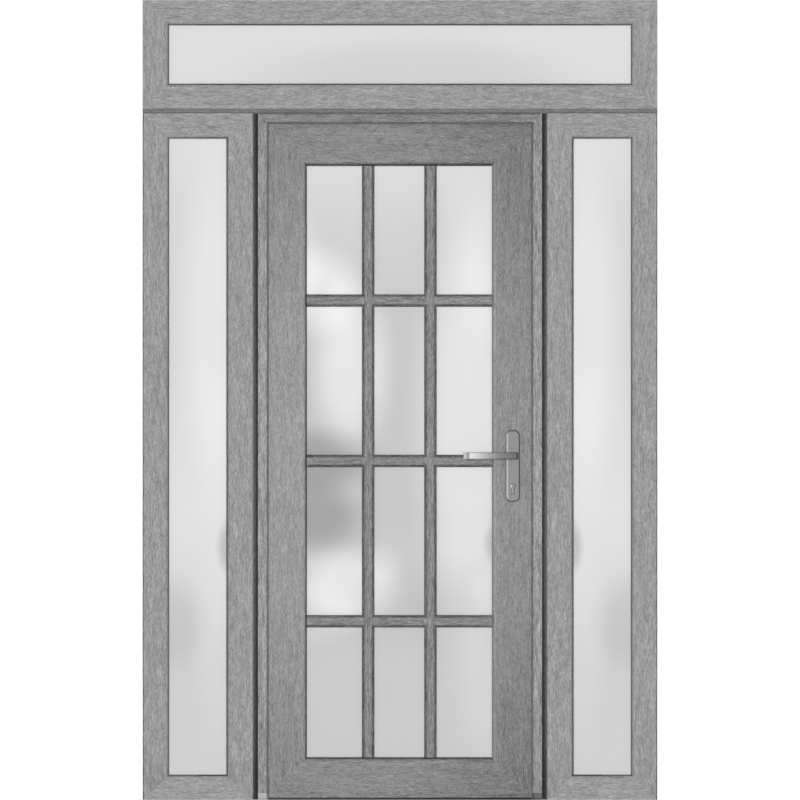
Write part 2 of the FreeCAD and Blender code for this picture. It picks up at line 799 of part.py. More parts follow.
forend = new_body("lock_forend")
place(forend, LEAF_RIGHT, "0", LEAF_BOTTOM, angle=TURN["right"])
forend_outline = edge_slot("forend_length", "forend_width", SPINDLE_RUN, LEAF_MID_DEPTH)
add_pad(forend, add_sketch(forend, "XY_Plane", [forend_outline]), "forend_thickness")
add_pocket(forend, add_sketch(forend, "XY_Plane", bolt_slots))

bolts = []
for label, (length, middle) in zip(("latch", "dead_bolt"), bolt_runs):
    bolt = new_body(label, node=False)
    place(bolt, LEAF_RIGHT, "0", LEAF_BOTTOM, angle=TURN["right"])
    section = edge_slot(length, "bolt_width", middle, LEAF_MID_DEPTH)
    add_pad(bolt, add_sketch(bolt, "XY_Plane", [section], offset="bolt_shy"), "bolt_depth - bolt_shy")
    bolts.append(bolt)
join("lock_bolts", bolts)

STRIKE_RUN = f"((spindle_height + {CYLINDER_HEIGHT}) / 2 - {FOOT_TOP})"
strike_slots = [
    edge_slot(
        length, "bolt_width", f"({middle} + {LEAF_BOTTOM} - {FOOT_TOP})", LEAF_MID_DEPTH, "bolt_clearance"
    )
    for length, middle in bolt_runs
]
strike_recess = edge_slot("strike_length", "strike_width", STRIKE_RUN, LEAF_MID_DEPTH, "forend_clearance")
add_pocket(
    lock_jamb,
    add_sketch(lock_jamb, "XY_Plane", [strike_recess], offset="jamb_body"),
    "strike_thickness",
)
add_pocket(
    lock_jamb, add_sketch(lock_jamb, "XY_Plane", strike_slots, offset="jamb_body"), "bolt_depth"
)
strike = new_body("strike_plate")
place(strike, DOOR_RIGHT, "0", FOOT_TOP, angle=TURN["right"])
strike_outline = edge_slot("strike_length", "strike_width", STRIKE_RUN, LEAF_MID_DEPTH)
strike_floor = "jamb_body - strike_thickness"
add_pad(strike, add_sketch(strike, "XY_Plane", [strike_outline], offset=strike_floor), "strike_thickness")
add_pocket(strike, add_sketch(strike, "XY_Plane", strike_slots, offset=strike_floor))

cylinder = new_body("lock_cylinder")
place(cylinder, SPINDLE_ACROSS, "0", CYLINDER_HEIGHT)
cylinder_back = f"({LEAF_BACK} + plate_thickness + cylinder_stand)"
cylinder_front = f"({LEAF_FRONT} - plate_thickness - cylinder_stand)"
cylinder_leg, cylinder_plug = keyhole("0", "0", "0")
cylinder_run = f"{cylinder_back} - {cylinder_front}"
plug_sketch = add_sketch(cylinder, "XZ_Plane", circles=[cylinder_plug], offset=f"-{cylinder_back}")
add_pad(cylinder, plug_sketch, cylinder_run)
leg_sketch = add_sketch(cylinder, "XZ_Plane", [cylinder_leg], offset=f"-{cylinder_back}")
add_pad(cylinder, leg_sketch, cylinder_run)
add_edge_break(
    cylinder,
    "Chamfer",
    "cylinder_chamfer",
    lambda edge: lies_on(edge, "y", cylinder_front) or lies_on(edge, "y", cylinder_back),
)
key_slot = rectangle(
    "-key_slot_width / 2", "-key_slot_height / 2", "key_slot_width / 2", "key_slot_height / 2"
)
front_slot = add_sketch(cylinder, "XZ_Plane", [key_slot], offset=f"-{cylinder_front}")
add_pocket(cylinder, front_slot, "key_slot_depth")
rear_slot = add_sketch(cylinder, "XZ_Plane", [key_slot], offset=f"-{cylinder_back}")
add_pocket(cylinder, rear_slot, "key_slot_depth", along_normal=True)


# Handles: a long backplate and a return lever on each face, joined by a square spindle

def backplate(label, face, turn):
    """A round-cornered plate with holes for the lever's neck and the lock cylinder"""
    plate = new_body(label)
    place(plate, SPINDLE_ACROSS, face, "spindle_height", axis=Vector(0, 0, 1), angle=turn)
    outline = rectangle(
        "-plate_width / 2", "plate_above_spindle - plate_height", "plate_width / 2", "plate_above_spindle"
    )
    add_pad(plate, add_sketch(plate, "XZ_Plane", [outline]), "plate_thickness")
    add_edge_break(plate, "Fillet", "plate_corner", lambda edge: runs_along(edge, "y"))
    add_edge_break(plate, "Chamfer", "plate_bevel", lambda edge: lies_on(edge, "y", "-plate_thickness"))
    leg, plug = keyhole("0", "-cylinder_drop", "cylinder_clearance")
    neck_hole = ("0", "0", "neck_radius + neck_clearance")
    add_pocket(plate, add_sketch(plate, "XZ_Plane", circles=[neck_hole, plug]))
    add_pocket(plate, add_sketch(plate, "XZ_Plane", [leg]))


def lever(label, face, turn):
    """A lever bent in plan, its end returned towards the door, on a round neck"""
    handle = new_body(label)
    place(handle, SPINDLE_ACROSS, face, "spindle_height", axis=Vector(1, 0, 0), angle=turn)
    outer = "-lever_reach"
    inner = "-lever_reach + lever_thickness"
    tip_outer = "-lever_length"
    tip_inner = "-lever_length + lever_thickness"
    tip_end = "-lever_reach + lever_return"
    plan = [
        ("lever_tail", outer),
        (tip_outer, outer),
        (tip_outer, tip_end),
        (tip_inner, tip_end),
        (tip_inner, inner),
        ("lever_tail", inner),
    ]
    add_pad(handle, add_sketch(handle, "XY_Plane", [plan]), "lever_height", symmetric=True)
    bends = [
        ("lever_tip_bend", tip_outer, outer),
        ("lever_tip_bend - lever_thickness", tip_inner, inner),
        ("lever_neck_bend", "lever_tail", outer),
    ]
    for radius, across, depth in bends:
        add_edge_break(
            handle, "Fillet", radius, lambda edge: lies_on(edge, "x", across) and lies_on(edge, "y", depth)
        )
    add_edge_break(
        handle,
        "Fillet",
        "lever_tip_round",
        lambda edge: lies_on(edge, "y", tip_end) and runs_along(edge, "z"),
    )
    add_edge_break(
        handle,
        "Chamfer",
        "lever_edge",
        lambda edge: lies_on(edge, "z", "lever_height / 2") or lies_on(edge, "z", "-lever_height / 2"),
    )
    neck_start = "(plate_thickness - neck_end_gap)"
    neck = add_sketch(
        handle, "XZ_Plane", circles=[("0", "0", "neck_radius")], offset=f"-{neck_start}"
    )
    add_pad(handle, neck, f"{neck_start} + lever_reach - lever_thickness / 2")


backplate("front_plate", LEAF_FRONT, 0)
backplate("rear_plate", LEAF_BACK, 180)
lever("front_lever", f"{LEAF_FRONT} - plate_thickness", 0)
lever("rear_lever", f"{LEAF_BACK} + plate_thickness", 180)

spindle = doc.addObject("Part::Box", "spindle")
spindle.setExpression("Length", formula("spindle_side"))
spindle.setExpression("Width", formula("leaf_thickness + 2 * neck_end_gap"))
spindle.setExpression("Height", formula("spindle_side"))
place(
    spindle,
    f"{SPINDLE_ACROSS} - spindle_side / 2",
    f"{LEAF_FRONT} - neck_end_gap",
    "spindle_height - spindle_side / 2",
)
nodes.append(spindle)

# Nothing is written out unless every feature came out whole
doc.recompute()
for item in doc.Objects:
    if "Invalid" in item.State or "Error" in item.State:
        raise RuntimeError(f"{item.Label} failed: {item.State}")
for node in nodes:
    if node.Shape.isNull() or not node.Shape.isValid():
        raise RuntimeError(f"{node.Label} has no valid shape")

os.makedirs("parts", exist_ok=True)
for node in nodes:
    node.Shape.exportStep(os.path.join("parts", f"{node.Label}.step"))
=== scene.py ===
import json
import math
import bmesh
import bpy
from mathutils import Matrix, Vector


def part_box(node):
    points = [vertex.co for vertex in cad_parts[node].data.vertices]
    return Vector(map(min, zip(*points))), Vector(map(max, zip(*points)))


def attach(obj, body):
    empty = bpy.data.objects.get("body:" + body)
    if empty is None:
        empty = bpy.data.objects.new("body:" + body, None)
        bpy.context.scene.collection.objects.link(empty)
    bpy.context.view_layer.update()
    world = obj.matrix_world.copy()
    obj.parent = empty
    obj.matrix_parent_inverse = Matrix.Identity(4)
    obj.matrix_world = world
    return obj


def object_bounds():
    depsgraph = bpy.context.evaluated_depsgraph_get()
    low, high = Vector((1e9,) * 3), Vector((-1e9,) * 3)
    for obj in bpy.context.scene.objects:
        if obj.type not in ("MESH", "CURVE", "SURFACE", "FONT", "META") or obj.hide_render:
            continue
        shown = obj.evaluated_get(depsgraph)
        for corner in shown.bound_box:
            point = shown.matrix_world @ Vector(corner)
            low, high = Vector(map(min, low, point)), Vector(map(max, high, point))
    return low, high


# The door unit as it is put together: fixed lights, door frame, leaf and handle, all in one frame of
# metres with the floor at z = 0 and the photographed face towards -Y.
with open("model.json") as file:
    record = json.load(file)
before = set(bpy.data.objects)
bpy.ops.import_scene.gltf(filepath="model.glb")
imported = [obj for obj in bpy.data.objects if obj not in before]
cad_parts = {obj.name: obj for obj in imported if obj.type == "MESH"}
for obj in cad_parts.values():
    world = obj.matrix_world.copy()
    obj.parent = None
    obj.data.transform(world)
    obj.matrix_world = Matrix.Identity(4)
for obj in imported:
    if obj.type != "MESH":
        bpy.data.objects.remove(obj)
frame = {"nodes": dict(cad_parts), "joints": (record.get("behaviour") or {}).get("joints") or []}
nodes = frame["nodes"]
cad_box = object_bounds()


# Fixed light frames: mitred hollow plastic profiles, one head, sill and two jambs for the transom and
# for each sidelight. Every bar is wrapped in grey wood-grain foil with the grain along the bar, and the
# foil stops at the outer sides, where the darker core shows.
FIXED_LIGHTS = ("transom", "left_sidelight", "right_sidelight")

# A piece's box is given by its lowest and its highest corner.
LOWEST, HIGHEST = 0, 1

# Marks are given as (across the grain, along the grain, fineness), greys from 0, black, to 1, white, and
# the foil's shades as (change from the middle mark, share of its grey).
FOIL_FIBRE = (0.0021, 0.022, 3.0)
FOIL_PORE = (0.0012, 0.008, 1.0)
FOIL_DRIFT = (0.007, 0.07, 1.0)
MARK_ROUGHNESS = 0.6
FIBRE_SHARE = 0.45
PORE_SHARE = 0.38
DRIFT_SHARE = 0.17
MIDDLE_MARK = 0.5
FOIL_SHADES = ((-0.2, 0.2), (0.0, 1.0), (0.2, 2.0))
FOIL_TINT = (0.992, 0.994, 1.02)
FOIL_ROUGHNESS = (0.50, 0.25)
FOIL_SHEEN = 0.25
EMBOSS_DEPTH = 0.0003
EMBOSS_STRENGTH = 0.35
FRAME_GREY = 0.298
FRAME_GRAIN = (1.35, 1.0, 0.72)
CORE_SKIN = 0.0003
CORE_WIDTH = 0.003
CORE_SHADE = 0.20
LIP_DEPTH = 0.003
# Painted shade darkens the fixed frames' lips round the glass: a little on the outer jambs, more on the
# jambs beside the door, and most on the sills.
OUTER_LIP_SHADE = 0.02
INNER_LIP_SHADE = 0.07
SILL_LIP_SHADE = 0.075
NEAR_FLOOR_HEIGHTS = (0.16, 0.08)
NEAR_FLOOR_DARKENING = 0.025

# A mix step's sockets for each kind of value differ only by number: first value, second value, outcome.
MIX_SOCKETS = {"FLOAT": (2, 3, 0), "VECTOR": (4, 5, 1)}


class Finish:
    """A finish being made up: its material, its shader's sockets and the steps that lead to them."""

    def __init__(self, name):
        self.material = bpy.data.materials.new(name)
        self.material.use_nodes = True
        self.shader = self.material.node_tree.nodes["Principled BSDF"].inputs
        self.place = self.add("ShaderNodeTexCoord").outputs["Object"]

    def add(self, kind, **settings):
        """A new step with its settings."""
        step = self.material.node_tree.nodes.new(kind)
        for setting, value in settings.items():
            setattr(step, setting, value)
        return step

    def feed(self, socket, value):
        """Gives a socket a plain value or the outcome of an earlier step."""
        if isinstance(value, bpy.types.NodeSocket):
            self.material.node_tree.links.new(value, socket)
        else:
            socket.default_value = value

    def give(self, quality, value):
        """Gives the surface one of the shader's qualities."""
        self.feed(self.shader[quality], value)

    def figure(self, operation, *terms, kind="ShaderNodeMath"):
        """One sum on numbers and earlier outcomes, or with the vector kind on colours and places."""
        step = self.add(kind, operation=operation)
        for socket, term in zip(step.inputs, terms):
            self.feed(socket, term)
        return step.outputs[0]

    def along(self, axis):
        """How far a place lies along one axis."""
        split = self.add("ShaderNodeSeparateXYZ")
        self.feed(split.inputs["Vector"], self.place)
        return split.outputs[axis]

    def sideways(self):
        """How far a place lies from the unit's middle, to either side."""
        return self.figure("ABSOLUTE", self.along("X"))

    def stretch(self, value, low, high, first=0.0, last=1.0):
        """A value between low and high, brought to the same share of the way from first to last."""
        scale = self.add("ShaderNodeMapRange")
        self.feed(scale.inputs["From Min"], low)
        self.feed(scale.inputs["From Max"], high)
        self.feed(scale.inputs["To Min"], first)
        self.feed(scale.inputs["To Max"], last)
        self.feed(scale.inputs["Value"], value)
        return scale.outputs["Result"]

    def pick(self, share, first, second, kind="FLOAT"):
        """The first of two values where a share is 0, and the second where it is 1."""
        mix = self.add("ShaderNodeMix", data_type=kind)
        first_socket, second_socket, outcome = MIX_SOCKETS[kind]
        self.feed(mix.inputs["Factor"], share)
        self.feed(mix.inputs[first_socket], first)
        self.feed(mix.inputs[second_socket], second)
        return mix.outputs[outcome]

    def turned(self, run):
        """Places with the run of the grain as their third part: upright, level, or turning at mitres."""
        if run == "upright":
            return self.place
        level = self.add("ShaderNodeCombineXYZ")
        for socket, axis in zip(level.inputs, "ZYX"):
            self.feed(socket, self.along(axis))
        if run == "level":
            return level.outputs["Vector"]
        return self.pick(run(self), level.outputs["Vector"], self.place, kind="VECTOR")

    def marks(self, place, size):
        """Noise marks of one size, given as (across the grain, along the grain, fineness)."""
        across, along, fineness = size
        drawn = self.add("ShaderNodeMapping")
        self.feed(drawn.inputs["Scale"], (1 / across, 1 / across, 1 / along))
        self.feed(drawn.inputs["Vector"], place)
        noise = self.add("ShaderNodeTexNoise")
        self.feed(noise.inputs["Scale"], 1.0)
        self.feed(noise.inputs["Detail"], fineness)
        self.feed(noise.inputs["Roughness"], MARK_ROUGHNESS)
        self.feed(noise.inputs["Vector"], drawn.outputs["Vector"])
        return noise.outputs["Fac"]

    def shades(self, value, stops):
        """Colours along a scale, each stop given as (spot, (red, green, blue))."""
        ramp = self.add("ShaderNodeValToRGB")
        elements = ramp.color_ramp.elements
        while len(elements) < len(stops):
            elements.new(1.0)
        for element, (spot, colour) in zip(elements, stops):
            element.position = spot
            element.color = (*colour, 1.0)
        self.feed(ramp.inputs["Fac"], value)
        return ramp.outputs["Color"]

    def roughen(self, marks, roughness):
        """Makes the surface rougher where its marks are lighter, given as (least, how much more)."""
        least, more = roughness
        self.give("Roughness", self.figure("MULTIPLY_ADD", marks, more, least))


def dress(finish, *names):
    """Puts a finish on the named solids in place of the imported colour."""
    for name in names:
        mesh = nodes[name].data
        mesh.materials.clear()
        mesh.materials.append(finish.material)


def wood_foil(name, run, grey, grain, shade=None):
    """Grey wood-grain foil: long fibres, short pores and a slow drift of tone along the grain.

    grain gives how wide, how long and how strong the marks are, and shade how much darker the foil is
    from place to place.
    """
    finish = Finish(name)
    place = finish.turned(run)
    wide, long, strong = grain

    def figured(size):
        """Marks of one size, as wide and as long as this foil has them."""
        across, along, fineness = size
        return finish.marks(place, (across * wide, along * long, fineness))

    fibres = figured(FOIL_FIBRE)
    marks = finish.figure("MULTIPLY", figured(FOIL_DRIFT), DRIFT_SHARE)
    marks = finish.figure("MULTIPLY_ADD", figured(FOIL_PORE), PORE_SHARE, marks)
    marks = finish.figure("MULTIPLY_ADD", fibres, FIBRE_SHARE, marks)
    tone = finish.figure("SUBTRACT", marks, shade(finish)) if shade else marks
    stops = [(MIDDLE_MARK + change / strong, [grey * share * tint for tint in FOIL_TINT])
             for change, share in FOIL_SHADES]
    finish.give("Base Color", finish.shades(tone, stops))
    finish.roughen(fibres, FOIL_ROUGHNESS)
    finish.give("Specular IOR Level", FOIL_SHEEN)
    emboss = finish.add("ShaderNodeBump")
    finish.feed(emboss.inputs["Strength"], EMBOSS_STRENGTH)
    finish.feed(emboss.inputs["Distance"], EMBOSS_DEPTH)
    finish.feed(emboss.inputs["Height"], marks)
    finish.give("Normal", emboss.outputs["Normal"])
    return finish


def below_faces(finish, front, rear, depth):
    """0 on a front and a rear face, rising to 1 at a depth below either."""
    middle, half = (front + rear) / 2, (rear - front) / 2
    outward = finish.figure("ABSOLUTE", finish.figure("SUBTRACT", finish.along("Y"), middle))
    return finish.stretch(outward, half, half - depth)


def frame_lip(finish):
    """0 on the faces of the fixed frames, rising to 1 down their lips."""
    low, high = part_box("transom_sill")
    return below_faces(finish, low.y, high.y, LIP_DEPTH)


def sill_shade(finish):
    """Painted shade on the sills, deepening down their lips."""
    return finish.figure("MULTIPLY", frame_lip(finish), SILL_LIP_SHADE)


coupling_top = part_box("transom_coupling_bar")[HIGHEST].z


def bare_core(finish):
    """The dark core shows on the outer sides, and below the transom on a thin edge of the faces too."""
    lower = finish.figure("LESS_THAN", finish.along("Z"), coupling_top)
    core_line = finish.figure("MULTIPLY_ADD", lower, -CORE_WIDTH, cad_box[HIGHEST].x - CORE_SKIN)
    bare = finish.figure("GREATER_THAN", finish.sideways(), core_line)
    return finish.figure("MULTIPLY", bare, CORE_SHADE)


def near_floor(finish):
    """1 on the lowest stretch, near the floor, and 0 from a little above it."""
    fade_from, fade_full = NEAR_FLOOR_HEIGHTS
    return finish.stretch(finish.along("Z"), fade_from, fade_full)


def jamb_shade(lip_shade):
    """Painted shade down the jambs' lips, more darkening near the floor, and most where the core is bare.
    """

    def shade(finish):
        dark = finish.figure("MULTIPLY_ADD", frame_lip(finish), lip_shade, bare_core(finish))
        return finish.figure("MULTIPLY_ADD", near_floor(finish), NEAR_FLOOR_DARKENING, dark)

    return shade


outer_shade = jamb_shade(OUTER_LIP_SHADE)
inner_shade = jamb_shade(INNER_LIP_SHADE)
fixed_head_foil = wood_foil("fixed_head_foil", "level", FRAME_GREY, FRAME_GRAIN)
fixed_sill_foil = wood_foil("fixed_sill_foil", "level", FRAME_GREY, FRAME_GRAIN, sill_shade)
outer_jamb_foil = wood_foil("outer_jamb_foil", "upright", FRAME_GREY, FRAME_GRAIN, outer_shade)
inner_jamb_foil = wood_foil("inner_jamb_foil", "upright", FRAME_GREY, FRAME_GRAIN, inner_shade)
for light in FIXED_LIGHTS:
    dress(fixed_head_foil, light + "_head")
    dress(fixed_sill_foil, light + "_sill")
dress(outer_jamb_foil, "transom_left_jamb", "transom_right_jamb")
dress(outer_jamb_foil, "left_sidelight_left_jamb", "right_sidelight_right_jamb")
dress(inner_jamb_foil, "left_sidelight_right_jamb", "right_sidelight_left_jamb")

# Fixed gaskets: black rubber strips pressed in between each frame's lip and its glass, seen as a thin
# dark line round the light. Towards the outer sides of the unit they are a little lighter.
GASKET_GREY = 0.03
OUTER_LIGHTENING = 0.07
RUBBER_ROUGHNESS = (0.55, 0.3)
RUBBER_SHEEN = 0.3
DUST_SIZE = (0.016, 0.016, 4.0)
DUST_SHADES = ((0.3, 0.6), (0.7, 1.5))


def greys(finish, value, stops):
    """Greys along a scale, each stop given as (spot, grey)."""
    return finish.shades(value, [(spot, (grey, grey, grey)) for spot, grey in stops])


def soft_rubber(name, grey, lightening=None):
    """Dull black rubber, a little dusty in patches.

    lightening gives how much lighter it is from place to place.
    """
    finish = Finish(name)
    dust_and_painted_shade = finish.marks(finish.place, DUST_SIZE)
    colour = greys(finish, dust_and_painted_shade, [(spot, grey * share) for spot, share in DUST_SHADES])
    if lightening:
        colour = finish.figure("ADD", colour, lightening(finish), kind="ShaderNodeVectorMath")
    finish.give("Base Color", colour)
    finish.roughen(dust_and_painted_shade, RUBBER_ROUGHNESS)
    finish.give("Specular IOR Level", RUBBER_SHEEN)
    return finish


def outer_lighter(finish):
    """The gaskets are lighter in the outer half of each sidelight, and so at the ends of the transom."""
    low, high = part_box("right_sidelight_glass")
    outer = finish.figure("GREATER_THAN", finish.sideways(), (low.x + high.x) / 2)
    return finish.figure("MULTIPLY", outer, OUTER_LIGHTENING)


gasket_rubber = soft_rubber("gasket_rubber", GASKET_GREY, outer_lighter)
dress(gasket_rubber, "fixed_gaskets")

# Fixed glass: sealed units of satin glass that scatter the light; their colour carries painted light and
# shade of the blurred surroundings seen in them, as a tone that changes with height and soft clouds. They
# rest on packers in the frames.
SATIN_ROUGHNESS = (0.50, 0.15)
SATIN_SHEEN = 0.35
SATIN_GRIT = (0.001, 0.001, 0.0)
VEIL_SIZE = (0.45, 0.45, 2.0)
VEIL_CHANGE = 0.04
CLOUD_CORE = 0.7


def greys_along(finish, axis, stops):
    """Greys that change along one axis, each stop given as (place, grey)."""
    first, last = stops[0][0], stops[-1][0]
    way = finish.stretch(finish.along(axis), first, last)
    return greys(finish, way, [((spot - first) / (last - first), grey) for spot, grey in stops])


def soft_cloud(finish, across, height, half_width, half_height):
    """1 at the heart of an oval cloud, falling softly to 0 at its edge."""
    oval = finish.add("ShaderNodeMapping", vector_type="TEXTURE")
    finish.feed(oval.inputs["Location"], (across, 0.0, height))
    finish.feed(oval.inputs["Scale"], (half_width, 1.0, half_height))
    finish.feed(oval.inputs["Vector"], finish.place)
    ball = finish.add("ShaderNodeTexGradient", gradient_type="SPHERICAL")
    finish.feed(ball.inputs["Vector"], oval.outputs["Vector"])
    soft = finish.add("ShaderNodeMapRange", interpolation_type="SMOOTHSTEP")
    finish.feed(soft.inputs["From Max"], CLOUD_CORE)
    finish.feed(soft.inputs["Value"], ball.outputs["Fac"])
    return soft.outputs["Result"]


def satin_glass(name, fall, clouds, mirrored=False):
    """Satin glass with painted light and shade of blurred surroundings: tone by height, and soft clouds.

    fall gives the greys as (height, grey), and each cloud is given as (across, height, half width,
    half height, change of grey). Mirrored glass is alike at both sides of the unit.
    """
    finish = Finish(name)
    if mirrored:
        finish.place = finish.figure("ABSOLUTE", finish.place, kind="ShaderNodeVectorMath")
    grey = finish.add("ShaderNodeRGBToBW")
    finish.feed(grey.inputs["Color"], greys_along(finish, "Z", fall))
    veil = finish.marks(finish.place, VEIL_SIZE)
    tone = finish.figure("SUBTRACT", grey.outputs["Val"], VEIL_CHANGE / 2)
    tone = finish.figure("MULTIPLY_ADD", veil, VEIL_CHANGE, tone)
    for *oval, change in clouds:
        tone = finish.figure("MULTIPLY_ADD", soft_cloud(finish, *oval), change, tone)
    colour = finish.add("ShaderNodeCombineColor")
    for channel in ("Red", "Green", "Blue"):
        finish.feed(colour.inputs[channel], tone)
    finish.give("Base Color", colour.outputs["Color"])
    finish.roughen(finish.marks(finish.place, SATIN_GRIT), SATIN_ROUGHNESS)
    finish.give("Specular IOR Level", SATIN_SHEEN)
    return finish


SIDELIGHT_FALL = (
    (0.06, 0.60), (0.40, 0.60), (0.62, 0.66), (0.75, 0.715),
    (0.87, 0.735), (1.35, 0.655), (1.75, 0.66), (1.99, 0.71),
)
SIDELIGHT_CLOUDS = (
    (0.55, 1.42, 0.14, 0.68, 0.11),
    (0.53, 0.48, 0.12, 0.40, 0.05),
    (0.69, 0.53, 0.14, 0.18, -0.09),
    (0.515, 0.76, 0.045, 0.10, -0.22),
)
sidelight_glass = satin_glass("sidelight_glass", SIDELIGHT_FALL, SIDELIGHT_CLOUDS, mirrored=True)
dress(sidelight_glass, "left_sidelight_glass", "right_sidelight_glass")

TRANSOM_FALL = ((2.13, 0.70), (2.34, 0.71))
TRANSOM_CLOUDS = ((0.03, 2.16, 0.65, 0.17, -0.09),)
dress(satin_glass("transom_glass", TRANSOM_FALL, TRANSOM_CLOUDS), "transom_glass")

# Glazing beads of the fixed lights: thin foil-covered strips that clip in behind the glass, with a soft
# black lip against it. They are cut with mitres, so the grain turns at each corner of a light.
LIP_SECTION = ((0.0, 0.0), (0.003, 0.0), (0.0022, 0.0012), (0.0008, 0.0030), (0.0, 0.0032))


def nearer_upright(finish, across, glass):
    """1 where a corner's mitre gives the place to the upright bar, 0 where to the level one."""
    low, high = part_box(glass)
    middle, half = (low + high) / 2, (high - low) / 2
    offset = finish.figure("ABSOLUTE", finish.figure("SUBTRACT", across, middle.x))
    rise = finish.figure("ABSOLUTE", finish.figure("SUBTRACT", finish.along("Z"), middle.z))
    to_side = finish.figure("SUBTRACT", half.x, offset)
    to_end = finish.figure("SUBTRACT", half.z, rise)
    return finish.figure("LESS_THAN", to_side, to_end)


def fixed_bead_mitres(finish):
    """The mitres round the transom glass and round the sidelight glasses, which mirror each other."""
    beside = nearer_upright(finish, finish.sideways(), "right_sidelight_glass")
    above = nearer_upright(finish, finish.along("X"), "transom_glass")
    in_transom = finish.figure("GREATER_THAN", finish.along("Z"), coupling_top)
    return finish.pick(in_transom, beside, above)


def add_piece(name, points, faces, finish, body):
    """A new piece in its finish, fixed to a body."""
    mesh = bpy.data.meshes.new(name)
    mesh.from_pydata(points, [], faces)
    shell = bmesh.new()
    shell.from_mesh(mesh)
    bmesh.ops.recalc_face_normals(shell, faces=shell.faces)
    shell.to_mesh(mesh)
    shell.free()
    mesh.materials.append(finish.material)
    piece = bpy.data.objects.new(name, mesh)
    bpy.context.scene.collection.objects.link(piece)
    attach(piece, body)


def band(here, there, sides):
    """The faces between two rings of points, given by the number of each ring's first point."""
    after = [*range(1, sides), 0]
    return [(here + step, here + after[step], there + after[step], there + step) for step in range(sides)]


def bead_lip(name, left, right, low, high, glass, body):
    """A rubber lip round the opening between four bars, on the rear of its glass.

    The points of its section are given as (distance inward from the bars, rise from the glass).
    """
    near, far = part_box(left)[HIGHEST].x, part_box(right)[LOWEST].x
    bottom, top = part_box(low)[HIGHEST].z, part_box(high)[LOWEST].z
    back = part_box(glass)[HIGHEST].y
    corners = ((near, bottom, 1, 1), (far, bottom, -1, 1), (far, top, -1, -1), (near, top, 1, -1))
    points = [(x + inward * across, back + rise, z + inward * up)
              for x, z, across, up in corners for inward, rise in LIP_SECTION]
    sides = len(LIP_SECTION)
    faces = []
    for corner in range(len(corners)):
        after = (corner + 1) % len(corners)
        faces += band(corner * sides, after * sides, sides)
    add_piece(name, points, faces, gasket_rubber, body)


dress(wood_foil("fixed_bead_foil", fixed_bead_mitres, FRAME_GREY, FRAME_GRAIN), "fixed_beads")
for light in FIXED_LIGHTS:
    bars = [light + bar for bar in ("_left_jamb", "_right_jamb", "_sill", "_head")]
    bead_lip(light + "_bead_lip", *bars, light + "_glass", "frame")

# Coupling posts and bar: the strips that join the sidelights and the transom to the door frame. The
# posts are dark plastic set back between the frames, with painted shade deepening towards the door
# frame, and the bar is covered in the same foil as the frames, painted darker as shade.
POST_SHADES = ((0.0, 0.03), (0.35, 0.062), (1.0, 0.19))
POST_GRAIN = (0.004, 0.010, 2.0)
POST_GRAIN_SHARE = 1.0
POST_END_DARKENING = 0.3
POST_NEAR_FLOOR_DARKENING = 0.13
POST_ROUGHNESS = (0.45, 0.2)
# The bar's foil is a darker grey than the frames', painted shade where it lies set back.
COUPLING_BAR_GREY = 0.171


def towards_ends(finish, piece):
    """0 half way up a piece, rising ever faster to 1 at its two ends."""
    low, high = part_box(piece)
    middle, half = (low.z + high.z) / 2, (high.z - low.z) / 2
    up = finish.figure("DIVIDE", finish.figure("SUBTRACT", finish.along("Z"), middle), half)
    return finish.figure("MULTIPLY", up, up)


def shaded_plastic(name):
    """Dark plastic with painted shade deepening towards the door frame, darker towards its ends and near
    the floor.
    """
    finish = Finish(name)
    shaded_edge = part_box("lock_jamb")[HIGHEST].x
    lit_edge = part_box("right_sidelight_left_jamb")[LOWEST].x
    marks = finish.marks(finish.place, POST_GRAIN)
    # Painted shade, deepest beside the door frame and gone beside the sidelights.
    dust_and_painted_shade = finish.stretch(finish.sideways(), shaded_edge, lit_edge)
    tone = finish.figure("SUBTRACT", dust_and_painted_shade, POST_GRAIN_SHARE / 2)
    tone = finish.figure("MULTIPLY_ADD", marks, POST_GRAIN_SHARE, tone)
    tone = finish.figure("MULTIPLY_ADD", towards_ends(finish, "coupling_posts"), -POST_END_DARKENING, tone)
    tone = finish.figure("MULTIPLY_ADD", near_floor(finish), -POST_NEAR_FLOOR_DARKENING, tone)
    finish.give("Base Color", greys(finish, tone, POST_SHADES))
    finish.roughen(marks, POST_ROUGHNESS)
    return finish


dress(shaded_plastic("post_plastic"), "coupling_posts")
coupling_bar_foil = wood_foil("coupling_bar_foil", "level", COUPLING_BAR_GREY, FRAME_GRAIN, bare_core)
dress(coupling_bar_foil, "transom_coupling_bar")

# Door frame: two jambs and a head of the same foil-covered profile, mitred at the top and screwed to the
# coupling posts. Painted shade darkens the jambs' foil a little towards both ends, makes the head's foil
# darker all over, and is deepest along the top of the head, under the coupling bar.
JAMB_GREY = 0.302
JAMB_END_SHADE = 0.05
# The head's foil is a darker grey than the jambs', painted shade.
HEAD_GREY = 0.202
HEAD_EDGE = 0.003
HEAD_EDGE_SHADE = 0.14
DOOR_GRAIN = (1.15, 1.2, 1.0)


def jamb_end_shade(finish):
    """Painted shade on the jambs, deepening towards the floor and the head."""
    return finish.figure("MULTIPLY", towards_ends(finish, "lock_jamb"), JAMB_END_SHADE)


def head_edge(finish):
    """Painted shade along the head's top edge, under the coupling bar."""
    edge_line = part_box("door_head")[HIGHEST].z - HEAD_EDGE
    on_edge = finish.figure("GREATER_THAN", finish.along("Z"), edge_line)
    return finish.figure("MULTIPLY", on_edge, HEAD_EDGE_SHADE)


dress(wood_foil("jamb_foil", "upright", JAMB_GREY, DOOR_GRAIN, jamb_end_shade), "hinge_jamb", "lock_jamb")
dress(wood_foil("door_head_foil", "level", HEAD_GREY, DOOR_GRAIN, head_edge), "door_head")

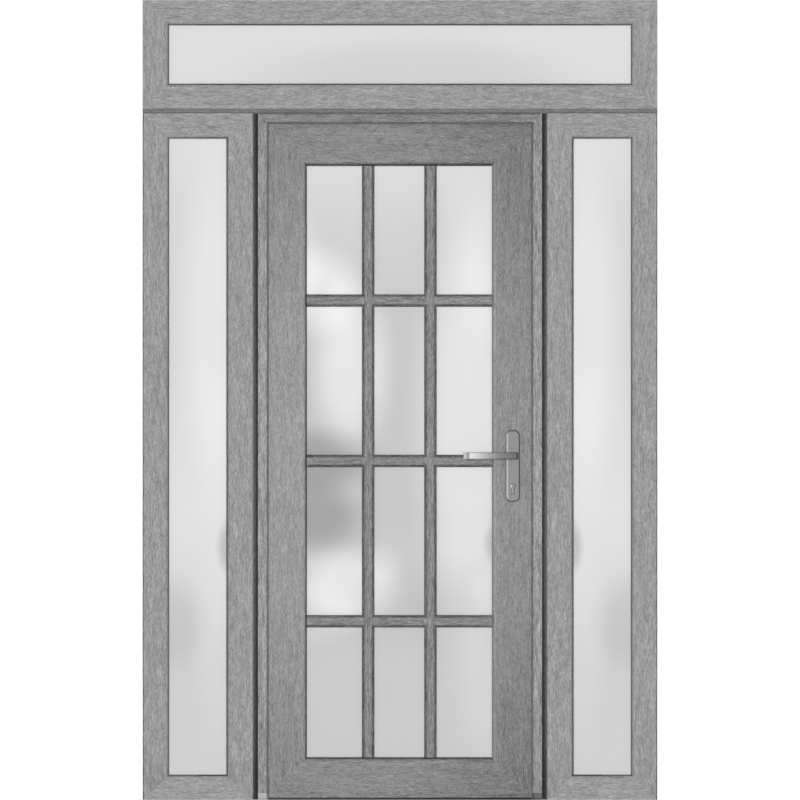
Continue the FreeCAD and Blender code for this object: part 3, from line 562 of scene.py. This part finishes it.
# Threshold: a low mill-finish aluminium sill screwed to the floor, with fine lines from its drawing. It
# is far darker along most of its length than at its end under the hinge jamb.
SILL_GREY = 0.32
SILL_SHARES = (
    (0.0, 1.0), (0.027, 1.0), (0.028, 0.24), (0.426, 0.21),
    (0.824, 0.16), (0.825, 0.24), (0.852, 0.24),
)
SILL_METAL = 0.7
DRAWN_LINES = (0.0008, 0.09, 2.0)
DRAWN_SHADES = ((0.3, 0.85), (0.7, 1.15))
DRAWN_ROUGHNESS = (0.50, 0.15)


def drawn_metal(name, run, lines, grey, metallic, piece=None, shares=None):
    """Metal with fine drawn or brushed lines along its run.

    Where its grey changes across a piece, shares are given as (distance from its left side, share of the
    grey): painted highlights and shade on the handle, and a paler end on the threshold.
    """
    finish = Finish(name)
    drawn = finish.marks(finish.turned(run), lines)
    colour = greys(finish, drawn, [(spot, grey * share) for spot, share in DRAWN_SHADES])
    if shares:
        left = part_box(piece)[LOWEST].x
        across_tone = greys_along(finish, "X", [(left + spot, share) for spot, share in shares])
        colour = finish.figure("MULTIPLY", colour, across_tone, kind="ShaderNodeVectorMath")
    finish.give("Base Color", colour)
    finish.give("Metallic", metallic)
    finish.roughen(drawn, DRAWN_ROUGHNESS)
    return finish


sill_aluminium = drawn_metal(
    "sill_aluminium", "level", DRAWN_LINES, SILL_GREY, SILL_METAL,
    "threshold", SILL_SHARES)
dress(sill_aluminium, "threshold")

# Jamb feet: moulded plastic pieces that carry the jambs on the threshold, a pale one at the hinge side
# and a dark one at the lock side.
PALE_FOOT = 0.34
DARK_FOOT = 0.045
FOOT_SPECKS = (0.0015, 0.0015, 2.0)
FOOT_SPECK_SHARE = 0.2
FOOT_SPECK_SHADES = (0.6, 1.4)
FOOT_ROUGHNESS = (0.4, 0.2)


def speckled_plastic(name):
    """Moulded plastic with fine specks, pale in the foot on the left and dark in the one on the right."""
    finish = Finish(name)
    low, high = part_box("jamb_feet")
    specks = finish.marks(finish.place, FOOT_SPECKS)
    dark_from = 1 - FOOT_SPECK_SHARE
    side = finish.stretch(finish.along("X"), low.x, high.x, 0.0, dark_from)
    tone = finish.figure("MULTIPLY_ADD", specks, FOOT_SPECK_SHARE, side)
    dull, bright = FOOT_SPECK_SHADES
    stops = (
        (0.0, PALE_FOOT * dull), (FOOT_SPECK_SHARE, PALE_FOOT * bright),
        (dark_from, DARK_FOOT * dull), (1.0, DARK_FOOT * bright),
    )
    finish.give("Base Color", greys(finish, tone, stops))
    finish.roughen(specks, FOOT_ROUGHNESS)
    return finish


dress(speckled_plastic("foot_plastic"), "jamb_feet")

# Door seal: a grey rubber strip in one piece up, over and down the door frame, with its tail tucked in
# behind the frame's lip. The leaf closes against it.
SEAL_GREY = 0.11
dress(soft_rubber("seal_rubber", SEAL_GREY), "door_seal")

# Leaf: two stiles and two rails of a wider foil-covered profile, mitred and welded, with a rounded lip
# round the glass. Painted shade darkens its foil slowly from the middle to the corners, most on the
# lock side.
LEAF_GREY = 0.314
LEAF_GRAIN = (1.08, 1.05, 0.76)
LEAF_SHADE_REACH = 0.33
LEAF_SHADE_SIDEWAYS = 0.0254
LEAF_SHADE_EDGES = 0.032
LEAF_SHADE_ENDS = 0.098
# Painted shade down the lips of the hinge stile and the rails, and a painted highlight down the lip of
# the lock stile.
HINGE_LIP = (0.003, 0.03)
LOCK_LIP = (0.0006, -0.075)
TOP_LIP = (0.003, 0.11)
BOTTOM_LIP = (0.003, 0.055)


def leaf_painted_shade(finish):
    """Painted shade: how much darker the leaf's foil is than at its middle."""
    across = finish.stretch(finish.along("X"), -LEAF_SHADE_REACH, LEAF_SHADE_REACH, -1.0, 1.0)
    shade_sum = finish.figure("MULTIPLY", across, LEAF_SHADE_SIDEWAYS)
    shade_sum = finish.figure("MULTIPLY_ADD", finish.figure("MULTIPLY", across, across), LEAF_SHADE_EDGES, shade_sum)
    return finish.figure("MULTIPLY_ADD", towards_ends(finish, "hinge_stile"), LEAF_SHADE_ENDS, shade_sum)


def over_glass(finish, glass):
    """1 over the outline of a glass unit, whose edges the lips cover, and 0 outside it."""
    low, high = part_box(glass)
    middle, half = (low + high) / 2, (high - low) / 2
    across = finish.figure("COMPARE", finish.along("X"), middle.x, half.x)
    up = finish.figure("COMPARE", finish.along("Z"), middle.z, half.z)
    return finish.figure("MULTIPLY", across, up)


def leaf_foil(name, run, lip):
    """The leaf's foil, with painted shade down its lip round the glass, which a shade below 0 turns into
    a painted highlight.

    lip is given as (depth below the face, shade).
    """
    low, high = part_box("hinge_stile")
    depth, lip_shade = lip

    def shade(finish):
        sides = below_faces(finish, low.y, high.y, depth)
        down_lip = finish.figure("MULTIPLY", sides, over_glass(finish, "door_glass"))
        return finish.figure("MULTIPLY_ADD", down_lip, lip_shade, leaf_painted_shade(finish))

    return wood_foil(name, run, LEAF_GREY, LEAF_GRAIN, shade)


dress(leaf_foil("hinge_stile_foil", "upright", HINGE_LIP), "hinge_stile")
dress(leaf_foil("lock_stile_foil", "upright", LOCK_LIP), "lock_stile")
dress(leaf_foil("top_rail_foil", "level", TOP_LIP), "top_rail")
dress(leaf_foil("bottom_rail_foil", "level", BOTTOM_LIP), "bottom_rail")

# Door glass: one sealed unit of the same satin glass, on packers in the leaf, with a rubber gasket at the
# front, a rubber sweep under the leaf, and foil-covered beads with a rubber lip behind the glass.
# Painted light and shade of the blurred surroundings seen in the door glass: tone by height, and clouds.
DOOR_FALL = (
    (0.13, 0.57), (0.40, 0.57), (0.60, 0.52), (0.74, 0.575),
    (0.84, 0.545), (1.45, 0.56), (1.72, 0.62), (1.9, 0.705),
)
DOOR_CLOUDS = (
    (0.20, 1.13, 0.20, 0.80, 0.20),
    (0.27, 1.60, 0.14, 0.30, 0.08),
    (0.28, 0.62, 0.10, 0.10, 0.06),
    (-0.145, 1.30, 0.15, 0.33, 0.22),
    (-0.25, 1.525, 0.17, 0.17, 0.20),
    (-0.29, 1.62, 0.07, 0.20, 0.08),
    (-0.25, 1.02, 0.22, 0.13, -0.20),
    (-0.25, 0.845, 0.18, 0.145, -0.20),
    (-0.16, 0.635, 0.205, 0.15, 0.22),
    (-0.06, 0.705, 0.09, 0.08, 0.06),
    (-0.25, 0.56, 0.17, 0.13, 0.07),
    (0.29, 0.77, 0.05, 0.08, -0.19),
    (0.29, 0.38, 0.16, 0.40, 0.06),
)
# The door gasket's near-black is black rubber darkened further as painted shade round the glass.
DOOR_GASKET_GREY = 0.018
GASKET_WIDTH = 0.004
# Painted light greys the gasket along the lock stile.
LOCK_PAINTED_LIGHT = 0.17
SWEEP_LIGHTENING = 0.12


def door_rubber_lightening(finish):
    """Painted light on the gasket along the lock stile; the sweep is lighter towards the hinges."""
    hinge_side, lock_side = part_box("hinge_stile")[LOWEST].x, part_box("lock_stile")[HIGHEST].x
    lock_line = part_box("lock_stile")[LOWEST].x - GASKET_WIDTH
    beside_lock = finish.figure("GREATER_THAN", finish.along("X"), lock_line)
    on_gasket = finish.figure("MULTIPLY", beside_lock, LOCK_PAINTED_LIGHT)
    on_sweep = finish.stretch(finish.along("X"), lock_side, hinge_side, 0.0, SWEEP_LIGHTENING)
    below_leaf = finish.figure("LESS_THAN", finish.along("Z"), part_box("bottom_rail")[LOWEST].z)
    return finish.pick(below_leaf, on_gasket, on_sweep)


def door_bead_mitres(finish):
    """The mitres of the four beads behind the door glass."""
    return nearer_upright(finish, finish.along("X"), "door_glass")


dress(satin_glass("door_satin_glass", DOOR_FALL, DOOR_CLOUDS), "door_glass")
dress(soft_rubber("door_rubber", DOOR_GASKET_GREY, door_rubber_lightening), "door_gasket")
dress(wood_foil("door_bead_foil", door_bead_mitres, LEAF_GREY, LEAF_GRAIN, leaf_painted_shade), "door_beads")
bead_lip("door_bead_lip", "hinge_stile", "lock_stile", "bottom_rail", "top_rail", "door_glass", "leaf")

# Glazing bars: foil-covered strips stuck to both faces of the door glass, two uprights crossed by three
# level bars, so that one pane looks like twelve. Painted shade darkens the foil down their rounded sides.
BAR_GREY = 0.219
BAR_SPREAD = 0.0935
BAR_HALF_WIDTH = 0.0188
BAR_SIDE_DEPTH = 0.001
BAR_SIDE_SHADE = 0.115


def bar_crossings(finish):
    """1 on the two upright bars, which run through, and 0 on the level ones."""
    low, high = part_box("front_glazing_bars")
    offset = finish.figure("SUBTRACT", finish.along("X"), (low.x + high.x) / 2)
    return finish.figure("COMPARE", finish.figure("ABSOLUTE", offset), BAR_SPREAD, BAR_HALF_WIDTH)


def bar_sides(finish):
    """Painted shade just below the bars' flat faces, in front of the glass and behind it alike."""
    front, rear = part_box("front_glazing_bars")[LOWEST].y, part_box("rear_glazing_bars")[HIGHEST].y
    return finish.figure("MULTIPLY", below_faces(finish, front, rear, BAR_SIDE_DEPTH), BAR_SIDE_SHADE)


bar_foil = wood_foil("bar_foil", bar_crossings, BAR_GREY, DOOR_GRAIN, bar_sides)
dress(bar_foil, "front_glazing_bars", "rear_glazing_bars")

# Hinges: three flag hinges on the rear face, die-cast and coated in grey. Three countersunk screws hold
# each flag to the hinge stile.
HINGE_GREY = 0.25
HINGE_METAL = 0.3
HINGE_SPECKS = (0.003, 0.003, 2.0)
hinge_coat = drawn_metal("hinge_coat", "upright", HINGE_SPECKS, HINGE_GREY, HINGE_METAL)
dress(hinge_coat, "hinge_jamb_halves", "hinge_leaf_halves")

# A flag's screws are given as (distance from the hinge's axis, height above the flag's lower edge).
FLAG_BOTTOMS = (0.250, 1.030, 1.800)
FLAG_THICKNESS = 0.004
FLAG_SCREWS = ((0.022, 0.013), (0.022, 0.038), (0.043, 0.0255))
REARWARD = (0, 1, 0)
SCREW_RADIUS = 0.0038
SCREW_SIDES = 36
SCREW_LOBES = 6
SCREW_RINGS = ((1.0, 0.0, 0.0), (0.9, 0.0004, 0.0), (0.55, 0.0005, 0.14), (0.48, -0.0012, 0.14))
SCREW_GREY = 0.3
SCREW_METAL = 0.8
SCREW_GRAIN = (0.0006, 0.0006, 2.0)
screw_zinc = drawn_metal("screw_zinc", "upright", SCREW_GRAIN, SCREW_GREY, SCREW_METAL)


def screw_heads(name, spots, facing, body):
    """Countersunk screw heads with a six-lobed recess, let in flush.

    Each ring of a head is given as (share of its radius, height above the surface, depth of the lobes).
    """
    outward = Vector(facing)
    across = outward.orthogonal().normalized()
    along = outward.cross(across)
    points, faces = [], []
    for spot in spots:
        first = len(points)
        for share, height, lobes in SCREW_RINGS:
            for step in range(SCREW_SIDES):
                turn = math.tau * step / SCREW_SIDES
                radius = SCREW_RADIUS * share * (1 + lobes * math.cos(SCREW_LOBES * turn))
                sideways = across * math.cos(turn) + along * math.sin(turn)
                points.append(Vector(spot) + sideways * radius + outward * height)
        for ring in range(len(SCREW_RINGS) - 1):
            here = first + ring * SCREW_SIDES
            faces += band(here, here + SCREW_SIDES, SCREW_SIDES)
        faces.append(range(len(points) - SCREW_SIDES, len(points)))
    add_piece(name, points, faces, screw_zinc, body)


hinge_axis = next(joint["pos_m"][0] for joint in frame["joints"] if joint["name"] == "door_swing")
flag_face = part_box("hinge_stile")[HIGHEST].y + FLAG_THICKNESS
flag_spots = [(hinge_axis + across, flag_face, bottom + up)
              for bottom in FLAG_BOTTOMS for across, up in FLAG_SCREWS]
screw_heads("hinge_screws", flag_spots, REARWARD, "leaf")

# Lock: a nickel-plated forend screwed into the edge of the lock stile, with latch and dead bolt drawn
# back, a profile cylinder through the stile, and a strike plate screwed to the lock jamb.
NICKEL_GREY = 0.19
NICKEL_METAL = 0.85
NICKEL_LINES = (0.0006, 0.03, 2.0)
lock_nickel = drawn_metal("lock_nickel", "upright", NICKEL_LINES, NICKEL_GREY, NICKEL_METAL)
dress(lock_nickel, "lock_forend", "lock_bolts", "strike_plate", "spindle")

# The cylinder's colour carries a painted highlight down its left side and painted shade towards its
# right.
CYLINDER_GREY = 0.45
CYLINDER_SHARES = ((0.0, 1.0), (0.0035, 1.0), (0.005, 0.52), (0.017, 0.30))
cylinder_nickel = drawn_metal(
    "cylinder_nickel", "upright", NICKEL_LINES, CYLINDER_GREY, NICKEL_METAL,
    "lock_cylinder", CYLINDER_SHARES)
dress(cylinder_nickel, "lock_cylinder")

FOREND_SCREWS = (0.300, 0.640, 0.870, 1.140, 1.430, 1.765)
STRIKE_SCREWS = (0.900, 1.074)
RIGHTWARD = (1, 0, 0)
LEFTWARD = (-1, 0, 0)
forend_low, forend_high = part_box("lock_forend")
forend_middle = (forend_low.y + forend_high.y) / 2
forend_spots = [(forend_high.x, forend_middle, height) for height in FOREND_SCREWS]
screw_heads("forend_screws", forend_spots, RIGHTWARD, "leaf")
strike_spots = [(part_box("strike_plate")[LOWEST].x, forend_middle, height) for height in STRIKE_SCREWS]
screw_heads("strike_screws", strike_spots, LEFTWARD, "frame")

# Handles: a lever on a long backplate on each face of the leaf, brushed nickel over cast zinc, with a
# painted highlight towards the end of the lever and down one side of the plates, and painted shade
# towards the lever's neck. Two screws show on the rear plate.
PLATE_GREY = 0.35
PLATE_SHARES = ((0.0, 1.0), (0.00725, 0.93), (0.00825, 0.51), (0.03875, 0.51), (0.0435, 0.5))
plate_nickel = drawn_metal(
    "plate_nickel", "upright", NICKEL_LINES, PLATE_GREY, NICKEL_METAL,
    "front_plate", PLATE_SHARES)
dress(plate_nickel, "front_plate", "rear_plate")

LEVER_GREY = 0.95
LEVER_METAL = 0.6
LEVER_SHARES = (
    (0.0, 1.0), (0.008, 1.0), (0.009, 0.47), (0.0205, 0.46),
    (0.0215, 0.56), (0.070, 0.29), (0.110, 0.155), (0.164, 0.10),
)
lever_nickel = drawn_metal(
    "lever_nickel", "level", NICKEL_LINES, LEVER_GREY, LEVER_METAL,
    "front_lever", LEVER_SHARES)
dress(lever_nickel, "front_lever", "rear_lever")

PLATE_SCREWS = (0.906, 1.097)
plate_low, plate_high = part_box("rear_plate")
plate_spots = [((plate_low.x + plate_high.x) / 2, plate_high.y, height) for height in PLATE_SCREWS]
screw_heads("rear_plate_screws", plate_spots, REARWARD, "leaf")

# Studio: a plain pale floor, a main light square on to the front, a weaker one from the left and behind,
# one for the rear face, and an even white surround.
WHITE = (1.0, 1.0, 1.0, 1.0)
FLOOR_RADIUS = 9.0
FLOOR_SIDES = 96
FLOOR_DROP = 0.0005
FLOOR_GREY = 0.3
FLOOR_ROUGHNESS = 0.9
FLOOR_SHEEN = 0.0
FLOOR_GLOW = 0.8
floor_mesh = bpy.data.meshes.new("floor")
turns = [math.tau * step / FLOOR_SIDES for step in range(FLOOR_SIDES)]
rim = [(FLOOR_RADIUS * math.cos(turn), FLOOR_RADIUS * math.sin(turn), -FLOOR_DROP) for turn in turns]
floor_mesh.from_pydata(rim, [], [range(FLOOR_SIDES)])
floor = bpy.data.objects.new("floor", floor_mesh)
bpy.context.scene.collection.objects.link(floor)
pale_floor = Finish("pale_floor")
pale_floor.give("Base Color", (FLOOR_GREY, FLOOR_GREY, FLOOR_GREY, 1.0))
pale_floor.give("Roughness", FLOOR_ROUGHNESS)
pale_floor.give("Specular IOR Level", FLOOR_SHEEN)
pale_floor.give("Emission Color", WHITE)
pale_floor.give("Emission Strength", FLOOR_GLOW)
floor_mesh.materials.append(pale_floor.material)
floor.visible_diffuse = False
floor.visible_glossy = False
floor.visible_shadow = False

SURROUND_LIGHT = 0.42
SURROUND_SEEN = 1.0
world = bpy.data.worlds.new("white_surround")
bpy.context.scene.world = world
world.use_nodes = True
surround = world.node_tree.nodes["Background"]
surround.inputs["Color"].default_value = WHITE
seen = world.node_tree.nodes.new("ShaderNodeLightPath")
glow = world.node_tree.nodes.new("ShaderNodeMapRange")
glow.inputs["To Min"].default_value = SURROUND_LIGHT
glow.inputs["To Max"].default_value = SURROUND_SEEN
world.node_tree.links.new(seen.outputs["Is Camera Ray"], glow.inputs["Value"])
world.node_tree.links.new(glow.outputs["Result"], surround.inputs["Strength"])

# Each lamp is given as (direction in which it shines, strength, spread in degrees).
LAMPS = {
    "main_light": ((0.0, 1.0, -0.03), 1.85, 10.0),
    "side_light": ((0.85, -0.35, -0.4), 1.0, 60.0),
    "rear_light": ((-0.45, -0.75, -0.45), 2.0, 60.0),
}
for lamp_name, (towards, strength, spread) in LAMPS.items():
    lamp = bpy.data.lights.new(lamp_name, "SUN")
    lamp.energy = strength
    lamp.angle = math.radians(spread)
    holder = bpy.data.objects.new(lamp_name, lamp)
    holder.rotation_euler = Vector(towards).to_track_quat("-Z", "Y").to_euler()
    bpy.context.scene.collection.objects.link(holder)

# Camera: level, half way up the photographed face and square on to it, on a long lens so that the bars
# stay parallel. It stands where the unit's height just fills the picture.
LENS = 300.0
SENSOR = 36.0
FARTHEST = 100.0
TILT_TO_LEVEL = 90.0
picture_height = cad_box[HIGHEST].z
frame_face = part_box("transom_head")[LOWEST].y
camera_data = bpy.data.cameras.new("camera")
camera_data.lens = LENS
camera_data.sensor_width = SENSOR
camera_data.clip_end = FARTHEST
camera = bpy.data.objects.new("camera", camera_data)
camera.location = (0.0, frame_face - picture_height * LENS / SENSOR, picture_height / 2)
camera.rotation_euler = (math.radians(TILT_TO_LEVEL), 0.0, 0.0)
bpy.context.scene.collection.objects.link(camera)
bpy.context.scene.camera = camera
bpy.context.scene.view_settings.view_transform = "Standard"
